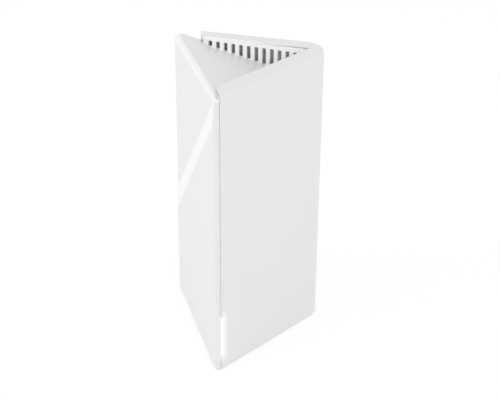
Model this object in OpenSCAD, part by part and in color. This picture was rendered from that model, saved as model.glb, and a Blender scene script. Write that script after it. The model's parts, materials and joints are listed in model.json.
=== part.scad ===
// Triangular tower wireless router: two interlocking mouldings round a vertical main board.
// +Z is up, -Y is the front corner, +Y is the flat back with the ports.
// The origin lies on the surface it stands on, under the middle of its footprint.

/* [Body] */
// Angle between the two side faces at the front corner
face_angle = 60; // [57:0.5:62]
// Overall depth from the rounded front corner to the back face
body_d = 111.5; // [108:0.5:120]
// Overall height, feet included
body_h = 226; // [216:1:250]
// Radius of the front corner
front_r = 2.9; // [2.4:0.1:3.6]
// Radius of the left back corner
left_r = 6.5; // [5:0.5:9]
// Radius of the right back corner
right_r = 16; // [12:0.5:18]
// Wall of both outer mouldings
wall = 2.5; // [2:0.1:2.8]
// Height that the feet hold the mouldings off the table
foot_proud = 1; // [0.6:0.1:2]

/* [Seam and fit] */
// Width of the visible seam down the front corner
seam_gap = 0.5; // [0.3:0.05:0.8]
// Gap between fixed pieces that slip into each other
fit_gap = 0.15; // [0.1:0.05:0.2]
// Gap round a moving button
button_gap = 0.35; // [0.3:0.05:0.5]
// Thickness of the lips behind the seams
lip_t = 1.4; // [1:0.1:1.5]
// How far a lip reaches behind the other moulding
lip_reach = 4.5; // [3.5:0.5:4.5]

/* [Fold in the left face] */
// Height at which the lower edge of the fold meets the front corner
fold_z = 209.5; // [190:0.5:212]
// Angle of the fold below the horizontal
fold_angle = 47.5; // [42:0.5:55]
// Width of the slanting band of the fold
fold_band = 12.6; // [8:0.1:15]
// How far the upper part of the face lies back
fold_step = 0.7; // [0.5:0.1:1.2]

/* [Well in the top] */
// Tilt of the deck, falling away from the left face
deck_tilt = 15.4; // [14:0.1:16.5]
// How far the deck's high edge lies below the rim
deck_drop = 1.3; // [0.4:0.1:2]
// Thickness of the deck
deck_t = 2.2; // [1.6:0.1:3]
// Width of the rim along the right face
rim_w = 13.8; // [12:0.1:15]
// Thickness of the rim's flat top
rim_t = 1.8; // [1.4:0.1:2.4]
// Thickness of the well's upright walls
well_t = 2; // [1.5:0.1:2.5]
// Distance from the left face at which the rim starts at the front corner
rim_front = 5.8; // [5.4:0.1:8]
// Distance from the left face at which the back rim steps up
rim_back = 20.3; // [19:0.1:21.5]

/* [Vent grille] */
// Number of slots
slot_n = 12; // [6:1:12]
// Distance from slot to slot
slot_pitch = 5.85; // [5:0.05:5.95]
// Width of a slot
slot_w = 2.9; // [2:0.1:3.4]
// How much lower the last slot's upper end is than the first's
slot_fall = 2.2; // [0:0.1:3]
// Distance of the grille's middle from the back face
grille_in = 11.9; // [11:0.1:13.5]
// Middle of the slots, sideways from the middle of the body
grille_x = 3.8; // [3:0.1:5]
// Angle between the grille and the back face
grille_turn = 0.5; // [0:0.1:2.5]
// Depth of the flange behind the grille
flange_t = 1.2; // [0.8:0.1:1.5]

/* [Status light] */
// Height of the light bar
light_h = 38; // [20:1:42]
// Width of the light bar
light_w = 3.4; // [2.8:0.1:3.6]
// Height of the light bar's lower end
light_z = 10.7; // [9:0.1:30]

/* [Main board] */
// Width of the main board
board_w = 72; // [70:1:74]
// Height of the main board
board_h = 150; // [140:1:160]
// Thickness of every circuit board
board_t = 1.6; // [1:0.1:2]
// Lower edge of the main board
board_z = 12; // [9:1:16]
// Outer radius of the board's bosses
boss_r = 3.4; // [3:0.1:4]

/* [Ports and buttons] */
// Distance between network jacks
jack_pitch = 17.6; // [17:0.1:18]
// Width of a network jack
jack_w = 16; // [15.5:0.1:16.4]
// Height of a network jack
jack_h = 14; // [13.5:0.1:15]
// Depth of a network jack, from the board to its mouth
jack_len = 18; // [16:0.5:20]
// Height of the middle of the row of jacks
jack_z = 28; // [26:1:34]
// Bore radius of the power inlet
inlet_r = 3.2; // [2.8:0.1:3.4]
// Radius of the pairing button
pair_r = 4.5; // [3.5:0.1:5]
// Travel of the pairing button
pair_travel = 0.5; // [0.3:0.1:1]
// Travel of the recessed reset button
reset_travel = 0.3; // [0.2:0.05:0.5]
// Width of the power button
power_w = 10; // [8:0.5:11]
// Height of the power button
power_h = 7; // [6:0.5:8]
// Travel of the power button
power_travel = 2; // [1:0.1:2.2]
// Height of the middle of the buttons
button_z = 52; // [50:1:54]

/* [Heat sink] */
// Width of the heat sink
sink_w = 44; // [30:1:46]
// Height of the heat sink
sink_h = 64; // [40:1:66]
// Number of fins
fin_n = 9; // [5:1:11]
// Depth of the fins
fin_d = 9; // [6:0.5:10]

/* [Feet and screws] */
// Radius of a rubber foot
foot_r = 4.5; // [4:0.1:5]
// Shaft radius of a base or frame screw
screw_r = 1.2; // [1:0.1:1.4]
// Outer radius of the base bosses
base_boss_r = 4; // [3.8:0.1:4.4]

/* [Hidden] */
$fn = 64;

// Far beyond the body, for cutting tools
far = 300;
// How far a cutting tool passes the face it cuts
cut = 1;
// Gap round a screw's thread in its pilot hole, and round its shaft in a clearance hole
screw_gap = 0.05;
shaft_gap = 0.2;

// Screws of the base and the frame
head_r = 2.4;
head_t = 1.4;
cross_w = 0.6;
base_screw_len = 9;
frame_screw_len = 6;

// The power button stands out at the back, so the body moves forward by half of that
power_proud = power_travel + 0.6;
front_y = -(body_d + power_proud) / 2;
back_y = front_y + body_d;

// Half the angle between the side faces, and the right face's outward normal
half = face_angle / 2;
side_n = [cos(half), -sin(half)];
// Point where both side faces would meet, so placed that the body is centred sideways
apex_y = front_y + front_r - front_r / sin(half);
reach_right = side_reach(right_r);
reach_left = side_reach(left_r);
apex_x = (reach_left - reach_right) / 2;
body_w = reach_left + reach_right;
// Centres of the back corner rounds
right_c = [apex_x + reach_right - right_r, back_y - right_r];
left_c = [apex_x - reach_left + left_r, back_y - left_r];

// The left wall is thicker by the fold's step, so the recessed part keeps a full wall
left_wall = wall + fold_step;
// The seam lies just past the end of the front corner's round
seam_s = front_r / tan(half) + 0.1;
shell_z = foot_proud;
// Smallest corner round of a drawn-in outline
sharp_r = 0.3;
// Straight sides lie this much inside the rounds, so that they cross them cleanly
side_in = 0.001;
base_t = 2.5;
base_top = shell_z + base_t;
// The well's upright walls reach this far below the deck's upper face
well_skirt = deck_t + 3;
lip_top = 200;
// The lip behind the back seam starts above the ports and buttons
back_lip_z = button_z + 10;
// Width of each lip's root on its own moulding
lip_root = 3;
corner_root = 2.2;

// Grille: distance of its middle from the left face, and the deck's height along it
grille_y = back_y - grille_in;
grille_d = (grille_x - apex_x) * cos(half) + (grille_y - apex_y) * sin(half);
slot_gap = 0.2;
slot_top_gap = 1.2;
grille_edge = 1.6;
grille_top = body_h - rim_t;
grille_half = (slot_n - 1) * slot_pitch / 2 + slot_w / 2 + grille_edge;

// Main board: its back face meets the jacks and bosses, its front face the heat sink
jack_recess = 0.4;
back_seam_x = apex_x + (rim_back - (back_y - apex_y) * sin(half)) / cos(half);
board_x = (back_seam_x + right_c.x) / 2;
board_back = back_y - jack_recess - jack_len;
board_front = board_back - board_t;
board_boss_in = 8;
board_boss_low = 56;
board_boss_x = [board_x - board_w / 2 + board_boss_in, board_x + board_w / 2 - board_boss_in];
board_boss_z = [board_z + board_boss_low, board_z + board_h - board_boss_in];
board_screw_r = 1.1;
board_screw_len = 9;

// Ports and buttons, from the middle of the board outwards
jack_n = 3;
jack_shift = 8.8;
jack_x = [for (i = [0 : jack_n - 1]) board_x + jack_shift + (i - 1) * jack_pitch];
inlet_x = jack_x[0] - jack_pitch;
inlet_w = 11;
pair_x = jack_x[2];
reset_x = jack_x[1];
power_x = inlet_x + (jack_w - power_w) / 6;
plug_w = 12;
plug_h = 8;
plug_depth = 12;
latch_w = 6;
latch_h = 2.4;
contact_n = 8;
contact_pitch = 1.02;
shield_t = 0.3;
contact_t = 0.4;
inlet_depth = 11;
spring_w = 2;
spring_t = 0.4;

// Buttons: caps stand proud, flanges stay behind the wall
pair_proud = 0.8;
pair_flange = 1.3;
flange_h = 1.2;
switch_w = 6;
switch_h = 3.5;
plunger_r = 1.75;
plunger_out = 1.5;
plunger_in = 1.2;
reset_hole_r = 1;
reset_back = 4;
power_body = 8;
power_body_len = 9;
power_stem = 3;
power_r = 1.5;

// Heat sink stack on the board's front face
chip_w = 17;
chip_t = 1.4;
pad_t = 1;
sink_base = 2.5;
fin_t = 1.2;
sink_off = 3;
sink_x = board_x + sink_off;
sink_rise = 84;
sink_z = board_z + sink_rise;
sink_back = board_front - chip_t - pad_t;
sink_pin_in = 3;
sink_pin = [sink_w / 2 - sink_pin_in, sink_h / 2 - sink_pin_in];
pin_r = 1.2;
pin_head_r = 2.2;
pin_head_t = 1.2;
memory_w = 10;
memory_h = 13;
memory_off = 15;
shield_w = 23;
shield_h = 23;
shield_d = 2.4;
shield_off = 12.5;
shield_x = [board_x - shield_off, board_x + shield_off];
shield_z = board_z + board_h - 28;
transformer_w = 15;
transformer_h = 7;
transformer_d = 5;
capacitor_r = 4;
capacitor_len = 10;
capacitor_off = 12;
capacitor_rise = 6;
transformer_rise = 6.5;

// Frame that carries the aerials, set off from both side walls
frame_in = 6.5;
frame_t = 2;
frame_len = 78;
frame_z = 16;
frame_h = 172;
rib_t = 2;
aerial_t = 1;
aerial_s = 26;
aerial_w = 40;
aerial_h = 62;
aerial_z = [frame_z + 10, frame_z + 96];
window_edge = 4;
lug_w = 10;
lug_t = 2.5;
light_off = 1.3;
light_s = seam_s + light_off;
light_foot = 5;
light_foot_t = 0.5;
light_board_s = (left_wall + 0.4 + frame_in * cos(2 * half)) / sin(2 * half);
light_back = 4.7;
light_chip_t = 0.7;
light_chip_w = 1.6;
light_chip_h = 2;
light_chip_n = 3;
light_edge = 2;
light_board_w = 9;

// Base bosses: distance along a side face and from it, and how far the back two stand in
front_boss_s = 36;
front_boss_d = frame_in + frame_t + head_r + 0.1;
corner_boss_in = base_boss_r - 0.5;
left_boss_d = left_wall + corner_boss_in;
left_boss_back = 12;
left_boss_s = (back_y - left_boss_back - apex_y - left_boss_d * sin(half)) / cos(half);
air_pitch = 5;
air_w = 2.4;
air_len = 24;
air_front = 56;
foot_t = 1.5;
foot_front = 18.5;
foot_side = 20;
foot_back = 10;
foot_places = [[apex_x, apex_y + foot_front], [-body_w / 2 + foot_side, back_y - foot_back],
               [body_w / 2 - foot_side, back_y - foot_back]];

// Sideways reach of a back corner of radius r from the sharp front corner
function side_reach(r) = ((back_y - r - apex_y) * sin(half) - r) / cos(half) + r;

// Place along the right face: X runs back from the sharp front corner, Y goes inwards
module at_right() {
  translate([apex_x, apex_y]) rotate(90 - half) children();
}

// The same along the left face
module at_left() {
  translate([apex_x, apex_y]) mirror([1, 0]) rotate(90 - half) children();
}

// Place at the grille: X runs along it, Y goes behind it
module at_grille() {
  translate([grille_x, grille_y]) rotate(-grille_turn) children();
}

// Back from the grille's place to the body's own
module from_grille() {
  rotate(grille_turn) translate([-grille_x, -grille_y]) children();
}

// Rounded triangle of the body, drawn in by inset, its left face by a further step
module outline(inset = 0, step = 0) {
  rf = max(front_r - step / (2 * cos(half) * cos(half)) - inset, sharp_r);
  rr = right_r - inset;
  rl = left_r - inset;
  pr = rr - side_in;
  pl = rl - side_in;
  pf = rf - side_in;
  front = [apex_x + step / 2 / cos(half), apex_y + (step / 2 + inset + rf) / sin(half)];
  left = left_c + [step / cos(half), 0];
  left_n = [-side_n.x, side_n.y];
  translate(front) circle(r = rf);
  translate(right_c) circle(r = rr);
  translate(left) circle(r = rl);
  polygon([front + pf * side_n, right_c + pr * side_n, right_c + [0, pr],
           left + [0, pl], left + pl * left_n, front + pf * left_n]);
}

// Strip of the plan between two distances from a side face
module band(from, to) {
  translate([-far / 2, from]) square([2 * far, to - from]);
}

// Strip of the plan between two distances from the back face
module back_strip(from, to) {
  translate([-far / 2, back_y - to]) square([far, to - from]);
}

// Hollow inside both mouldings, drawn in by a gap
module inner_area(gap = 0) {
  outline(wall + gap, fold_step);
}

// Plan of the well, grown by a distance into its upright walls
module well_area(grow = 0) {
  intersection() {
    at_right() band(rim_w - grow, far);
    union() {
      at_grille() band(-far, grow);
      at_left() band(-far, rim_back + grow);
    }
  }
  at_left() band(-far, rim_front + grow);
}

// Everything above the tilted deck, lowered by a drop
module above_deck(drop = 0) {
  at_left() translate([-far / 2, 0, body_h - deck_drop - drop]) rotate([-deck_tilt, 0, 0])
    translate([0, -far / 2, 0]) cube([2 * far, 2 * far, far]);
}

// Height of the deck along the grille, at a distance from the grille's middle
function deck_at(u) = body_h - deck_drop - tan(deck_tilt) * (grille_d + u * cos(half + grille_turn));

// Part of the plan that belongs to the front cover's walls
module cover_side() {
  difference() {
    at_left() band(-far, rim_back - fit_gap);
    at_right() translate([seam_s - seam_gap / 2, -cut]) square([far, wall + fit_gap + cut]);
  }
}

// Part of the plan that belongs to the rear housing's walls
module housing_side() {
  at_left() band(rim_back + fit_gap, far);
  at_right() translate([seam_s + seam_gap / 2, -cut]) square([far, wall + cut]);
}

// Above the fold, all that lies outside the drawn-in outline
module fold_recess() {
  ramp = fold_band / fold_step;
  reach = 2 * right_r;
  difference() {
    at_left() translate([0, 0, fold_z]) rotate([0, fold_angle, 0]) translate([-far / 2, 0, 0])
      rotate([90, 0, 90]) linear_extrude(2 * far)
        polygon([[-cut, -cut * ramp], [reach, reach * ramp], [-cut, reach * ramp]]);
    linear_extrude(body_h + cut) outline(0, fold_step);
  }
}

// Upright bar with round ends, through a side wall
module light_slot(w, h, from, to) {
  for (z = [w / 2, h - w / 2])
    translate([0, to, z]) rotate([90, 0, 0]) cylinder(r = w / 2, h = to - from);
  translate([-w / 2, from, w / 2]) cube([w, to - from, h - w]);
}

// Screw standing on its head, with a cross in the head
module screw(r, len, r_head, t_head) {
  difference() {
    union() {
      cylinder(r = r_head, h = t_head);
      cylinder(r = r, h = t_head + len);
    }
    for (turn = [0, 90])
      rotate([0, 0, turn]) translate([-r_head * 0.6, -cross_w / 2, -cut])
        cube([r_head * 1.2, cross_w, cut + t_head / 2]);
  }
}

// Places of the base bosses: cover side and housing side
module cover_boss_places() {
  at_left() translate([front_boss_s, front_boss_d]) children();
  at_left() translate([left_boss_s, left_boss_d]) children();
}
module housing_boss_places() {
  at_right() translate([front_boss_s, front_boss_d]) children();
  translate([right_c.x + right_r - wall - corner_boss_in, right_c.y]) children();
}

// One boss that stands on the base cover
module base_boss() {
  translate([0, 0, base_top]) cylinder(r = base_boss_r, h = frame_z - base_top);
}

// Rib that ties a front boss to its side wall
module boss_rib() {
  translate([front_boss_s - rib_t / 2, wall - 0.5, base_top])
    cube([rib_t, front_boss_d - wall, frame_z - base_top]);
}

// Rounded rectangle in the plane of the back, as long as len towards +Y
module back_block(w, h, r, len) {
  for (x = [r - w / 2, w / 2 - r], z = [r - h / 2, h / 2 - r])
    translate([x, len, z]) rotate([90, 0, 0]) cylinder(r = r, h = len);
  translate([-w / 2, 0, r - h / 2]) cube([w, len, h - 2 * r]);
  translate([r - w / 2, 0, -h / 2]) cube([w - 2 * r, len, h]);
}

// Plain box centred sideways and in height, as long as len towards +Y
module back_box(w, h, len) {
  translate([-w / 2, 0, -h / 2]) cube([w, len, h]);
}

// Opening of the grille in its own plane, grown by a gap
module grille_shape(gap) {
  u = grille_half + gap;
  polygon([[-u, grille_top], [u, grille_top], [u, deck_at(u) + slot_gap - grille_edge / 2 - gap],
           [-u, deck_at(-u) + slot_gap - grille_edge / 2 - gap]]);
}

module rear_housing() {
  through = wall + 2 * cut;
  color("white") difference() {
    union() {
      // Right and back walls
      translate([0, 0, shell_z]) linear_extrude(body_h - shell_z) intersection() {
        difference() {
          outline();
          inner_area();
        }
        housing_side();
      }
      // Flat top of the rim
      translate([0, 0, body_h - rim_t]) linear_extrude(rim_t) difference() {
        outline();
        well_area();
      }
      // Upright walls of the well
      intersection() {
        linear_extrude(body_h) intersection() {
          outline(wall / 2);
          difference() {
            well_area(well_t);
            well_area();
          }
        }
        above_deck(well_skirt);
      }
      // Bosses for the main board, and those under the base
      for (x = board_boss_x, z = board_boss_z)
        translate([x, back_y - wall + 0.5, z]) rotate([90, 0, 0])
          cylinder(r = boss_r, h = back_y - wall + 0.5 - board_back);
      housing_boss_places() base_boss();
      at_right() boss_rib();
    }
    // The rim and the panel stop at the deck's level beside the front corner
    intersection() {
      linear_extrude(body_h + cut) well_area();
      above_deck();
    }
    for (x = board_boss_x, z = board_boss_z)
      translate([x, board_back + board_screw_len, z]) rotate([90, 0, 0])
        cylinder(r = board_screw_r + screw_gap, h = board_screw_len + cut);
    housing_boss_places() translate([0, 0, base_top - cut]) cylinder(r = screw_r + screw_gap, h = frame_z);
    at_grille() translate([0, well_t + cut, 0]) rotate([90, 0, 0])
      linear_extrude(well_t + 2 * cut) grille_shape(fit_gap);
    at_right() translate([light_s, 0, light_z - fit_gap])
      light_slot(light_w + 2 * fit_gap, light_h + 2 * fit_gap, -cut, wall + cut);
    // Openings in the back wall
    translate([0, back_y - wall - cut, 0]) {
      for (x = jack_x)
        translate([x, 0, jack_z]) back_box(jack_w + 2 * fit_gap, jack_h + 2 * fit_gap, through);
      translate([inlet_x, 0, jack_z]) back_box(inlet_w + 2 * fit_gap, inlet_w + 2 * fit_gap, through);
      translate([power_x, 0, button_z])
        back_block(power_w + 2 * button_gap, power_h + 2 * button_gap, power_r + button_gap, through);
      translate([pair_x, through, button_z]) rotate([90, 0, 0])
        cylinder(r = pair_r + button_gap, h = through);
      translate([reset_x, through, button_z]) rotate([90, 0, 0]) cylinder(r = reset_hole_r, h = through);
    }
  }
}

module front_cover() {
  color("white") difference() {
    union() {
      // Left wall, front corner and the end of the back wall
      translate([0, 0, shell_z]) linear_extrude(body_h - shell_z) intersection() {
        difference() {
          outline();
          inner_area();
        }
        cover_side();
      }
      // Tilted deck
      intersection() {
        linear_extrude(body_h) difference() {
          intersection() {
            outline();
            well_area(-fit_gap);
          }
          at_right() translate([seam_s - seam_gap / 2, -cut]) square([far, wall + fit_gap + cut]);
        }
        above_deck(deck_t);
      }
      // Lips behind the seams at the front corner and on the back
      translate([0, 0, base_top]) linear_extrude(lip_top - base_top) at_right() {
        translate([seam_s - corner_root, wall + fit_gap]) square([corner_root + lip_reach, lip_t]);
        translate([seam_s - corner_root, wall / 2]) square([corner_root - seam_gap / 2, wall]);
      }
      translate([0, 0, back_lip_z]) linear_extrude(lip_top - back_lip_z) {
        intersection() {
          back_strip(wall + fit_gap, wall + fit_gap + lip_t);
          at_left() band(rim_back - lip_root, rim_back + lip_reach);
        }
        intersection() {
          back_strip(wall / 2, wall + fit_gap + lip_t);
          at_left() band(rim_back - lip_root, rim_back - fit_gap);
        }
      }
      cover_boss_places() base_boss();
      at_left() boss_rib();
    }
    above_deck();
    fold_recess();
    cover_boss_places() translate([0, 0, base_top - cut]) cylinder(r = screw_r + screw_gap, h = frame_z);
    at_right() translate([light_s, 0, light_z - fit_gap])
      light_slot(light_w + 2 * fit_gap, light_h + 2 * fit_gap, -cut, light_back + 0.3);
  }
}

// Slotted plate at the back of the well, with a flange behind its opening
module vent_grille() {
  color("white") at_grille() difference() {
    union() {
      translate([0, well_t, 0]) rotate([90, 0, 0]) linear_extrude(well_t) grille_shape(0);
      difference() {
        translate([0, well_t + flange_t, 0]) rotate([90, 0, 0]) linear_extrude(flange_t)
          intersection() {
            grille_shape(grille_edge);
            translate([-far / 2, 0]) square([far, grille_top - fit_gap]);
          }
        from_grille() linear_extrude(body_h + cut) at_left() band(-far, rim_back + well_t + fit_gap);
      }
    }
    for (i = [0 : slot_n - 1]) {
      u = (i - (slot_n - 1) / 2) * slot_pitch;
      low = deck_at(u) + slot_gap;
      top = grille_top - slot_top_gap - slot_fall * i / (slot_n - 1);
      translate([u - slot_w / 2, -cut, low]) cube([slot_w, well_t + flange_t + 2 * cut, top - low]);
    }
    // The end stays behind the step of the back rim
    from_grille() linear_extrude(body_h + cut) at_left() band(-far, rim_back);
  }
}

module light_bar() {
  color("aliceblue") at_right() translate([light_s, 0, light_z]) {
    light_slot(light_w, light_h, 0.1, light_back);
    translate([0, light_back - light_foot_t, light_w])
      cube([light_foot, light_foot_t, light_h - 2 * light_w]);
  }
}

module light_board() {
  color("seagreen") at_right()
    translate([light_board_s, light_back + light_chip_t, light_z - light_edge])
      cube([light_board_w, frame_in - light_back - light_chip_t, light_h + 2 * light_edge]);
}

module light_chips() {
  color("lightyellow") at_right()
    for (i = [0 : light_chip_n - 1])
      translate([light_board_s, light_back,
                 light_z + light_h * (i + 0.5) / light_chip_n - light_chip_h / 2])
        cube([light_chip_w, light_chip_t, light_chip_h]);
}

// Plate that closes the bottom, with air slots, screw seats and pockets for the feet
module base_cover() {
  color("gainsboro") difference() {
    translate([0, 0, shell_z]) linear_extrude(base_t) inner_area(fit_gap);
    for (place = foot_places) translate([place.x, place.y, shell_z - cut])
      cylinder(r = foot_r + 0.05, h = cut + foot_t - foot_proud);
    cover_boss_places() base_hole();
    housing_boss_places() base_hole();
    for (i = [-4 : 4])
      translate([apex_x + i * air_pitch - air_w / 2, apex_y + air_front, shell_z - cut])
        cube([air_w, air_len, base_t + 2 * cut]);
  }
}

// Counterbored screw hole of the base cover
module base_hole() {
  translate([0, 0, shell_z - cut]) cylinder(r = head_r + 0.2, h = cut + head_t);
  translate([0, 0, shell_z]) cylinder(r = screw_r + shaft_gap, h = base_t + cut);
}

module rubber_feet() {
  color("dimgray") for (place = foot_places)
    translate([place.x, place.y, 0]) cylinder(r = foot_r, h = foot_t);
}

module base_screws() {
  color("silver") {
    cover_boss_places() translate([0, 0, shell_z]) screw(screw_r, base_screw_len, head_r, head_t);
    housing_boss_places() translate([0, 0, shell_z]) screw(screw_r, base_screw_len, head_r, head_t);
  }
}

// Plan of one arm of the frame, in the place of a side face
module frame_arm(length) {
  translate([0, frame_in]) square([length, frame_t]);
}

// V-shaped frame behind both side faces, standing on the front base bosses
module antenna_frame() {
  color("whitesmoke") difference() {
    union() {
      translate([0, 0, frame_z]) linear_extrude(frame_h) intersection() {
        union() {
          at_right() frame_arm(frame_len);
          at_left() frame_arm(frame_len);
        }
        at_right() band(frame_in, far);
        at_left() band(frame_in, far);
      }
      at_right() frame_lug();
      at_left() frame_lug();
    }
    at_right() frame_window();
    at_left() frame_window();
    frame_screw_places() translate([0, 0, -cut]) cylinder(r = screw_r + shaft_gap, h = lug_t + 2 * cut);
  }
}

// Lug of the frame over a front base boss
module frame_lug() {
  lug_in = frame_in + frame_t / 2;
  translate([front_boss_s - lug_w / 2, lug_in, frame_z])
    cube([lug_w, front_boss_d + base_boss_r - lug_in, lug_t]);
}

// Air window between two aerials
module frame_window() {
  translate([aerial_s, frame_in - cut, aerial_z[0] + aerial_h + window_edge])
    cube([aerial_w, frame_t + 2 * cut, aerial_z[1] - aerial_z[0] - aerial_h - 2 * window_edge]);
}

// Places of the frame's screws, on top of the front base bosses
module frame_screw_places() {
  at_right() translate([front_boss_s, front_boss_d, frame_z]) children();
  at_left() translate([front_boss_s, front_boss_d, frame_z]) children();
}

module frame_screws() {
  color("silver") frame_screw_places() translate([0, 0, lug_t + head_t]) rotate([180, 0, 0])
    screw(screw_r, frame_screw_len, head_r, head_t);
}

module antenna_boards() {
  color("darkgreen") for (z = aerial_z) {
    at_right() translate([aerial_s, frame_in - aerial_t, z]) cube([aerial_w, aerial_t, aerial_h]);
    at_left() translate([aerial_s, frame_in - aerial_t, z]) cube([aerial_w, aerial_t, aerial_h]);
  }
}

module main_board() {
  color("darkgreen") difference() {
    translate([board_x - board_w / 2, board_front, board_z]) cube([board_w, board_t, board_h]);
    for (x = board_boss_x, z = board_boss_z)
      translate([x, board_back + cut, z]) rotate([90, 0, 0])
        cylinder(r = board_screw_r + shaft_gap, h = board_t + 2 * cut);
    sink_pin_places() translate([0, board_front - cut, 0]) rotate([-90, 0, 0])
      cylinder(r = pin_r + shaft_gap, h = board_t + 2 * cut);
  }
}

module board_screws() {
  color("silver") for (x = board_boss_x, z = board_boss_z)
    translate([x, board_front - head_t, z]) rotate([-90, 0, 0])
      screw(board_screw_r, board_t + board_screw_len - 1, head_r, head_t);
}

module processor() {
  color("dimgray") translate([sink_x - chip_w / 2, board_front - chip_t, sink_z - chip_w / 2])
    cube([chip_w, chip_t, chip_w]);
}

module memory_chips() {
  color("dimgray") for (side = [-1, 1])
    translate([sink_x + side * memory_off - memory_w / 2, board_front - chip_t, sink_z - memory_h / 2])
      cube([memory_w, chip_t, memory_h]);
}

module thermal_pad() {
  color("lightblue") translate([sink_x - chip_w / 2, sink_back, sink_z - chip_w / 2])
    cube([chip_w, pad_t, chip_w]);
}

// Four corners of the heat sink where its pins pass
module sink_pin_places() {
  for (x = [-1, 1], z = [-1, 1])
    translate([sink_x + x * sink_pin.x, 0, sink_z + z * sink_pin.y]) children();
}

module heat_sink() {
  fin_pitch = (sink_w - fin_t) / (fin_n - 1);
  color("darkgray") difference() {
    union() {
      translate([sink_x - sink_w / 2, sink_back - sink_base, sink_z - sink_h / 2])
        cube([sink_w, sink_base, sink_h]);
      for (i = [0 : fin_n - 1])
        translate([sink_x - sink_w / 2 + i * fin_pitch, sink_back - sink_base - fin_d, sink_z - sink_h / 2])
          cube([fin_t, fin_d + sink_base / 2, sink_h]);
    }
    sink_pin_places() translate([0, sink_back + cut, 0]) rotate([90, 0, 0])
      cylinder(r = pin_r + shaft_gap, h = sink_base + 2 * cut);
    sink_pin_places() translate([0, sink_back - sink_base, 0]) rotate([90, 0, 0])
      cylinder(r = pin_head_r + 0.6, h = fin_d + cut);
  }
}

module sink_pins() {
  stack = sink_base + pad_t + chip_t + board_t;
  color("whitesmoke") sink_pin_places()
    translate([0, sink_back - sink_base - pin_head_t, 0]) rotate([-90, 0, 0]) {
      cylinder(r = pin_head_r, h = pin_head_t);
      cylinder(r = pin_r, h = pin_head_t + stack + 1.5);
    }
}

// Pressed tin covers over the radio circuits, hollow towards the board
module radio_shields() {
  color("silver") for (x = shield_x)
    translate([x - shield_w / 2, board_front - shield_d, shield_z]) difference() {
      cube([shield_w, shield_d, shield_h]);
      translate([shield_t, shield_t, shield_t])
        cube([shield_w - 2 * shield_t, shield_d, shield_h - 2 * shield_t]);
    }
}

module network_transformers() {
  color("dimgray") for (x = jack_x) translate([x, board_back, jack_z + jack_h / 2 + transformer_rise])
    back_box(transformer_w, transformer_h, transformer_d);
}

module capacitors() {
  color("slategray") for (x = [-1 : 1])
    translate([board_x + x * capacitor_off, board_back + capacitor_len, board_boss_z[0] + capacitor_rise])
      rotate([90, 0, 0]) cylinder(r = capacitor_r, h = capacitor_len);
}

// Plug cavity of a network jack with the groove for the plug's latch, measured from the mouth
module plug_cavity() {
  translate([0, jack_len - plug_depth, 0]) back_box(plug_w, plug_h, plug_depth + cut);
  translate([0, jack_len - plug_depth, -plug_h / 2 - latch_h / 2 + 0.01])
    back_box(latch_w, latch_h, plug_depth + cut);
}

module network_jacks() {
  color("dimgray") for (x = jack_x) translate([x, board_back, jack_z]) difference() {
    back_box(jack_w - 2 * shield_t, jack_h - 2 * shield_t, jack_len);
    plug_cavity();
  }
}

module jack_shields() {
  color("silver") for (x = jack_x) translate([x, board_back, jack_z]) difference() {
    back_box(jack_w, jack_h, jack_len);
    translate([0, -cut, 0]) back_box(jack_w - 2 * shield_t, jack_h - 2 * shield_t, jack_len + 2 * cut);
  }
}

module jack_contacts() {
  color("gold") for (x = jack_x, i = [0 : contact_n - 1])
    translate([x + (i - (contact_n - 1) / 2) * contact_pitch, board_back + jack_len - plug_depth,
               jack_z + plug_h / 2 - contact_t / 2])
      back_box(contact_t, contact_t, plug_depth - 3);
}

module power_inlet() {
  color("dimgray") translate([inlet_x, board_back, jack_z]) difference() {
    back_box(inlet_w, inlet_w, jack_len);
    translate([0, jack_len + cut, 0]) rotate([90, 0, 0]) cylinder(r = inlet_r, h = inlet_depth + cut);
    translate([0, jack_len - inlet_depth, -inlet_r]) back_box(spring_w, 2 * spring_t, inlet_depth - 2);
  }
}

module inlet_pin() {
  color("gold") translate([inlet_x, board_back + jack_len - 1.5, jack_z]) rotate([90, 0, 0])
    cylinder(r = 1.05, h = inlet_depth - 1.5);
}

module inlet_spring() {
  color("silver") translate([inlet_x, board_back + jack_len - inlet_depth, jack_z - inlet_r - spring_t / 2])
    back_box(spring_w, spring_t, inlet_depth - 2);
}

// Push switch soldered to the board, with a round well for its plunger
module push_switch(travel) {
  difference() {
    back_box(switch_w, switch_w, switch_h);
    translate([0, switch_h + cut, 0]) rotate([90, 0, 0])
      cylinder(r = plunger_r + button_gap, h = plunger_in + travel + button_gap + cut);
  }
}

module pair_switch() {
  color("dimgray") translate([pair_x, board_back, button_z]) push_switch(pair_travel);
}

module pair_plunger() {
  color("ivory") translate([pair_x, board_back + switch_h + plunger_out, button_z]) rotate([90, 0, 0])
    cylinder(r = plunger_r, h = plunger_in + plunger_out);
}

module pair_button() {
  stem_y = board_back + switch_h + plunger_out;
  flange_y = back_y - wall - button_gap;
  color("gainsboro") {
    translate([pair_x, back_y + pair_proud, button_z]) rotate([90, 0, 0])
      cylinder(r = pair_r, h = back_y + pair_proud - flange_y + flange_h / 2);
    translate([pair_x, flange_y, button_z]) rotate([90, 0, 0]) {
      cylinder(r = pair_r + pair_flange, h = flange_h);
      cylinder(r = plunger_r, h = flange_y - stem_y);
    }
  }
}

module reset_switch() {
  color("dimgray") translate([reset_x, board_back, button_z]) push_switch(reset_travel);
}

module reset_button() {
  color("ivory") translate([reset_x, back_y - reset_back, button_z]) rotate([90, 0, 0])
    cylinder(r = plunger_r, h = back_y - reset_back - board_back - switch_h + plunger_in);
}

module power_switch() {
  well = power_stem + 2 * button_gap;
  color("dimgray") translate([power_x, board_back, button_z]) difference() {
    back_box(power_body, power_body, power_body_len);
    translate([0, power_body_len - plunger_in - power_travel - button_gap, 0])
      back_box(well, well, plunger_in + power_travel + button_gap + cut);
  }
}

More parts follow.
